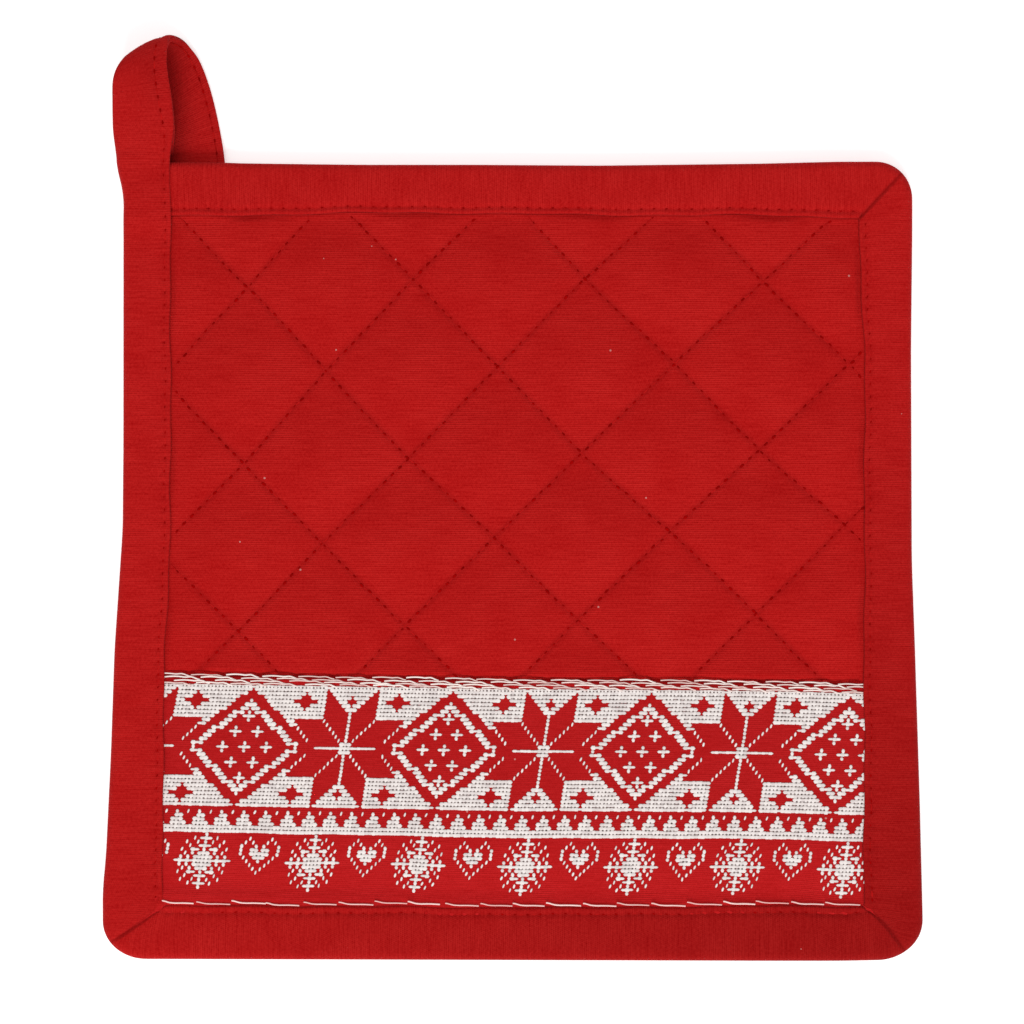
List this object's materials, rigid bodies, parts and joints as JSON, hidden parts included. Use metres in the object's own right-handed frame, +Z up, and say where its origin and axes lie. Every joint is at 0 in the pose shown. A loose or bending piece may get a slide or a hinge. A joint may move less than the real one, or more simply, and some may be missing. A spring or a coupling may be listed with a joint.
{
  "type": "pot holder",
  "caption": "Square quilted cotton pot holder with a woven border band, folded edge binding and a hanging loop at one corner.",
  "frame": {"origin": "middle of the pad's underside, which lies on the surface", "axes": "+Z up out of the pad's face, +Y in the pad's plane from the band's side towards the loop's side, +X to the right of both"},
  "size_m": [0.2057, 0.2325, 0.0124],
  "materials": {
    "quilted_cotton": "matt red plain-weave cotton, quilted over wadding",
    "woven_band": "matt red and white pattern-woven cotton",
    "binding_cotton": "matt red ribbed cotton strip, folded and stitched"
  },
  "bodies": {
    "root": {"quilted_panel": "quilted_cotton", "border_band": "woven_band", "edge_binding": "binding_cotton", "hanging_loop": "binding_cotton"}
  },
  "joints": []
}
